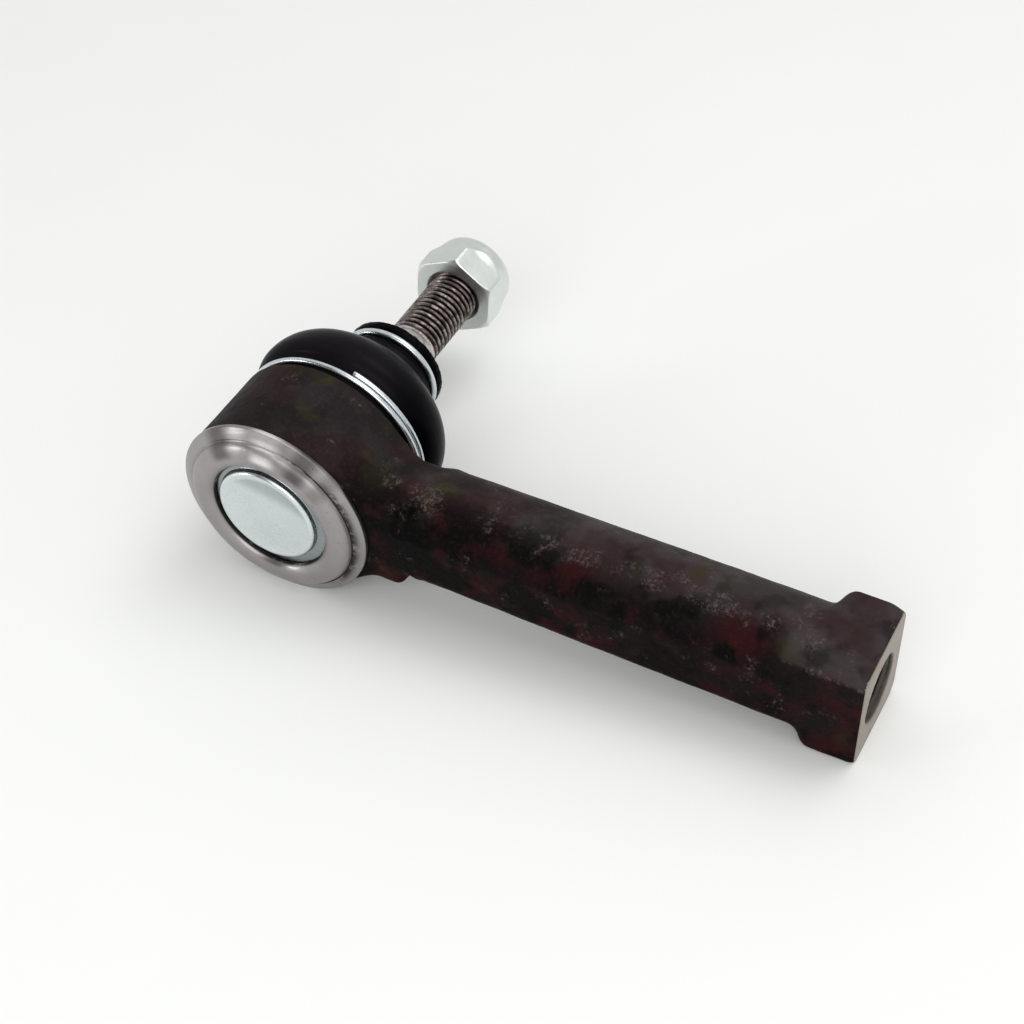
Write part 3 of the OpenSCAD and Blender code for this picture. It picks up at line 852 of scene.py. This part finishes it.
def rubber_paint():
    """Moulded black rubber, smooth and slightly glossy, with a little dust and a top painted greyer as a
    sheen.
    """
    p = Paint("black_rubber", Specular_IOR_Level=0.035)
    cloud = p.noise(9, 3, 0.55)
    dust = p.between(p.noise(0.45, 2, 0.6, shift=0.8), 0.76, 0.8)
    colour = p.mix(cloud, srgb(2, 2, 3), srgb(6, 5, 10))
    # Painted sheen: the top painted greyer
    sheen_top = p.times(p.between(p.part(2), 13.0, 22.0), p.scaled(cloud, 0.4, 0.95))
    colour = p.mix(sheen_top, colour, srgb(27, 23, 27))
    colour = p.mix(p.times(dust, 0.5), colour, srgb(110, 112, 120))
    rough = p.scaled(cloud, 0.22, 0.4)
    return p.wire_up(colour, rough, [(p.noise(2.2, 2, 0.5), 0.05), (p.noise(0.35, 2, 0.5), 0.012)])


def wire_paint():
    """Zinc-plated spring wire with drawing marks."""
    p = Paint("zinc_wire", Metallic=1.0)
    cloud = p.noise(1.8, 3, 0.6)
    colour = p.mix(cloud, srgb(186, 194, 200), srgb(226, 231, 234))
    return p.wire_up(colour, p.scaled(cloud, 0.2, 0.32), [(p.noise(1.6, 2, 0.5), 0.006)])


def stud_paint():
    """Oiled steel of the stud: dark thread roots, rubbed crests, bright ground ball and taper."""
    p = Paint("stud_steel", Metallic=1.0)
    rho = p.from_axis((1, 0, 1))
    along = p.part(1)
    cloud = p.noise(4, 3, 0.6)
    threaded = p.between(along, THREAD_START - 0.6, THREAD_START + 0.4)
    crest = p.between(p.plus(rho, p.times(p.noise(1.5, 3, 0.7, shift=0.5), 0.5)), 5.7, 6.35)
    root = p.mix(cloud, srgb(34, 26, 27), srgb(66, 52, 52))
    oil = p.between(p.noise(2.0, 4, 0.7, shift=1.1), 0.4, 0.65)
    rubbed = p.mix(oil, srgb(84, 74, 73), srgb(176, 166, 160))
    thread = p.mix(crest, root, rubbed)
    ground = p.mix(cloud, srgb(186, 180, 176), srgb(214, 209, 205))
    stain = p.times(p.between(p.noise(1.4, 4, 0.7, shift=4), 0.5, 0.62), p.between(along, 38.0, 41.0))
    ground = p.mix(p.times(stain, 0.6), ground, srgb(84, 62, 52))
    colour = p.mix(threaded, ground, thread)
    rough = p.plus(p.scaled(cloud, 0.2, 0.36), p.times(threaded, 0.06))
    return p.wire_up(colour, rough, [(p.noise(0.6, 3, 0.6), 0.02)])


def nut_paint():
    """Dull zinc on the nut, faintly green, softly mottled."""
    p = Paint("nut_zinc", Metallic=1.0)
    cloud = p.noise(4.5, 4, 0.6)
    colour = p.mix(cloud, srgb(206, 213, 210), srgb(226, 230, 227))
    mottle = p.between(p.noise(0.9, 3, 0.7, shift=1.3), 0.6, 0.74)
    colour = p.mix(p.times(mottle, 0.3), colour, srgb(160, 168, 163))
    rough = p.scaled(cloud, 0.22, 0.4)
    return p.wire_up(colour, rough, [(cloud, 0.1), (p.noise(0.7, 3, 0.6), 0.02)])


def plastic_paint(name, dark, light):
    """Moulded natural plastic with a greasy sheen and faint flow marks."""
    p = Paint(name, Subsurface_Weight=0.1, Subsurface_Scale=0.002)
    cloud = p.noise(3, 3, 0.55)
    flow = p.noise(1.2, 3, 0.5, at=p.vector("MULTIPLY", p.place, (1, 5, 1)))
    colour = p.mix(cloud, dark, light)
    return p.wire_up(colour, p.scaled(flow, 0.3, 0.5), [(flow, 0.02)])


def spring_paint():
    """Tempered spring steel, dark grey with a blue cast and circular rolling marks."""
    p = Paint("spring_steel", Metallic=1.0)
    rho = p.from_axis((1, 0, 1))
    rings = p.turning(rho, 7.0)
    colour = p.mix(p.noise(3, 3, 0.6), srgb(70, 74, 84), srgb(112, 116, 124))
    return p.wire_up(colour, p.scaled(rings, 0.25, 0.42), [(rings, 0.015)])


def face_paint():
    """Machined end face and bore of the shank: dull grey-brown steel with saw and turning marks, and painted
    shade inside the bore.
    """
    p = Paint("machined_end", Metallic=0.5)
    ring = p.from_axis((0, 1, 1))
    rings = p.turning(ring, 6.0, 4.0)
    cloud = p.noise(4, 4, 0.6)
    colour = p.mix(cloud, srgb(122, 111, 101), srgb(160, 149, 137))
    colour = p.mix(p.between(p.noise(1.5, 3, 0.7, shift=2), 0.6, 0.72), colour, srgb(70, 62, 58))
    # Painted shade: the bore painted dark inside, past its mouth
    hole = p.times(p.until(ring, HOLE_MAJOR_R + 0.1, HOLE_MOUTH_R), p.between(p.part(0), 40.0, 42.0))
    colour = p.mix(p.times(hole, 0.85), colour, srgb(36, 30, 27))
    return p.wire_up(colour, p.scaled(rings, 0.34, 0.55), [(rings, 0.03), (cloud, 0.06)])


# ---------------------------------------------------------------- the object

paints = {
    "forging": forging_paint(),
    "turned": turned_paint(),
    "plate": plate_paint(),
    "rubber": rubber_paint(),
    "wire": wire_paint(),
    "stud": stud_paint(),
    "nut": nut_paint(),
    "seat": plastic_paint("natural_acetal", srgb(206, 200, 178), srgb(228, 224, 206)),
    "nylon": plastic_paint("natural_nylon", srgb(222, 222, 212), srgb(238, 238, 230)),
    "spring": spring_paint(),
    "face": face_paint(),
}


def dress(piece, paint):
    """Gives a piece its material."""
    piece.data.materials.clear()
    piece.data.materials.append(paints[paint])
    return piece


def bare_machined(piece):
    """Paints the forging's machined places as bare metal: end face, hole, spigot, shoulder and cavity."""
    piece.data.materials.append(paints["face"])
    for polygon in piece.data.polygons:
        spot = polygon.center / MM
        ring, rho = math.hypot(spot.y, spot.z), math.hypot(spot.x, spot.z)
        on_face = spot.x > SHANK_END - 0.3
        in_hole = ring < HOLE_MOUTH_R + 0.3 and spot.x > SHANK_END - HOLE_DEPTH - 4
        on_spigot = spot.y > SHOULDER_Y - 0.2 and rho < HEAD_R + 1.7
        in_cavity = rho < CAVITY_R + 1.2
        if on_face or in_hole or on_spigot or in_cavity:
            polygon.material_index = 1


body = dress(forging(), "forging")
bare_machined(body)
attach(body, "housing")
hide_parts("housing")

rim = dress(housing_rim(), "turned")
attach(rim, "housing")
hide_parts("housing")

sleeve = dress(shank_thread(), "face")
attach(sleeve, "housing")
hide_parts("housing")

plate = dress(closing_plate(), "plate")
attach(plate, "housing")
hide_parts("closing_plate")

lower = dress(boot_lower(), "rubber")
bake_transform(lower)
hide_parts("boot")

upper = dress(boot_upper(), "rubber")
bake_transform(upper)
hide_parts("boot")

base_path = coil(BASE_RING_R, BASE_RING_Y, BASE_PITCH, BASE_CUT_ANGLE, BASE_DROP_ANGLE)
base_ring = dress(wire("base_ring_wire", base_path, BASE_WIRE_R), "wire")
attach(base_ring, "housing")
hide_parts("boot_base_ring")

neck_rows = arc(NECK_RING_R, NECK_RING_Y, NECK_WIRE_R, 0, 345, 23)
neck_ring = dress(lathe_ring("neck_ring_wire", neck_rows, 192), "wire")
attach(neck_ring, "boot_neck")
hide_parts("boot_neck_ring")

stud = dress(ball_stud(), "stud")
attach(stud, "stud")
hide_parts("ball_stud")

nut = dress(lock_nut(), "nut")
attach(nut, "nut")
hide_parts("lock_nut")

insert = dress(insert_ring(), "nylon")
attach(insert, "nut_insert")
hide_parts("lock_nut_insert")

for node, paint, slot in (("ball_seat", "seat", "seat_plastic"), ("lower_seat", "seat", "seat_plastic"),
                          ("preload_spring", "spring", "spring_steel")):
    dress(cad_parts[node], paint)


# ---------------------------------------------------------------- camera, floor and light

CAMERA_AZIMUTH = math.radians(29.5)
CAMERA_ELEVATION = math.radians(46.39)
CAMERA_ROLL = math.radians(-2.22)
CAMERA_DISTANCE = 0.41526
CAMERA_AIM = Vector((0.04175, 0.01548, -0.00675))
CAMERA_LENS = 68.4

ROOM_LIGHT = 0.76
FRONT_LIGHT = 0.06
FRONT_DIRECTION = Vector((-0.35, -0.85, 0.35))

# Lamps: name, place and aim in metres, size in metres, power in watts
LAMPS = (
    ("overhead", (0.3, 0.35, 0.9), (0.05, 0, 0), 0.6, 2.8),
    ("front_fill", (0.25, -0.85, 0.6), (0.04, 0, 0), 0.8, 5.2),
    ("low_left", (-0.74, -0.65, 0.17), (0, -0.01, 0), 0.2, 1.6),
)


def place_camera():
    """Camera above the cap end, looking along the stud and down on the shank."""
    a, e = CAMERA_AZIMUTH, CAMERA_ELEVATION
    back = Vector((math.sin(a) * math.cos(e), -math.cos(a) * math.cos(e), math.sin(e)))
    right = Vector((math.cos(a), math.sin(a), 0))
    up = back.cross(right)
    turned_right = right * math.cos(CAMERA_ROLL) + up * math.sin(CAMERA_ROLL)
    turned_up = up * math.cos(CAMERA_ROLL) - right * math.sin(CAMERA_ROLL)
    camera = bpy.data.objects.new("camera", bpy.data.cameras.new("camera"))
    bpy.context.collection.objects.link(camera)
    axes = Matrix((turned_right, turned_up, back)).transposed().to_4x4()
    camera.matrix_world = Matrix.Translation(CAMERA_AIM + back * CAMERA_DISTANCE) @ axes
    camera.data.lens = CAMERA_LENS
    camera.data.sensor_width = 36
    camera.data.clip_start = 0.01
    camera.data.clip_end = 20
    bpy.context.scene.camera = camera


def place_floor():
    """A pale floor under the three places that the part rests on."""
    head, boot = Vector((0, CAP_EDGE, -HEAD_R)), Vector((0, BULGE_Y, -BOOT_R))
    wrench_end = Vector((SHANK_END - 3, 0, -FLATS_Z))
    normal = (boot - head).cross(wrench_end - head).normalized()
    if normal.z < 0:
        normal = -normal
    bpy.ops.mesh.primitive_plane_add(size=8)
    floor = bpy.context.object
    floor.name = "floor"
    floor.rotation_mode = "QUATERNION"
    floor.rotation_quaternion = normal.to_track_quat("Z", "Y")
    floor.location = head * MM
    paint = Paint("floor", Roughness=0.7)
    colour = paint.mix(paint.noise(60, 2, 0.5), srgb(240, 241, 239), srgb(243, 244, 242))
    floor.data.materials.append(paint.wire_up(colour))


def light(name, place, aim, size, power):
    """A square soft light at place, facing aim."""
    data = bpy.data.lights.new(name, "AREA")
    data.energy = power
    data.size = size
    made = bpy.data.objects.new(name, data)
    made.location = place
    made.rotation_mode = "QUATERNION"
    made.rotation_quaternion = (Vector(aim) - Vector(place)).to_track_quat("-Z", "Y")
    bpy.context.collection.objects.link(made)


def light_studio():
    """A white room that is dim in front, with the lamps in it."""
    world = bpy.data.worlds.new("studio")
    bpy.context.scene.world = world
    world.use_nodes = True
    nodes, links = world.node_tree.nodes, world.node_tree.links
    direction = nodes.new("ShaderNodeTexCoord")
    front = nodes.new("ShaderNodeVectorMath")
    front.operation = "DOT_PRODUCT"
    front.inputs[1].default_value = FRONT_DIRECTION.normalized()
    links.new(direction.outputs["Generated"], front.inputs[0])
    ramp = nodes.new("ShaderNodeMapRange")
    ramp.interpolation_type = "SMOOTHSTEP"
    ramp.inputs["From Min"].default_value = 0.6
    ramp.inputs["From Max"].default_value = 0.9
    ramp.inputs["To Min"].default_value = ROOM_LIGHT
    ramp.inputs["To Max"].default_value = FRONT_LIGHT
    links.new(front.outputs["Value"], ramp.inputs["Value"])
    background = nodes["Background"]
    background.inputs["Color"].default_value = (1, 1, 1, 1)
    links.new(ramp.outputs["Result"], background.inputs["Strength"])
    for lamp in LAMPS:
        light(*lamp)
    bpy.context.scene.view_settings.view_transform = "Standard"


place_camera()
place_floor()
light_studio()
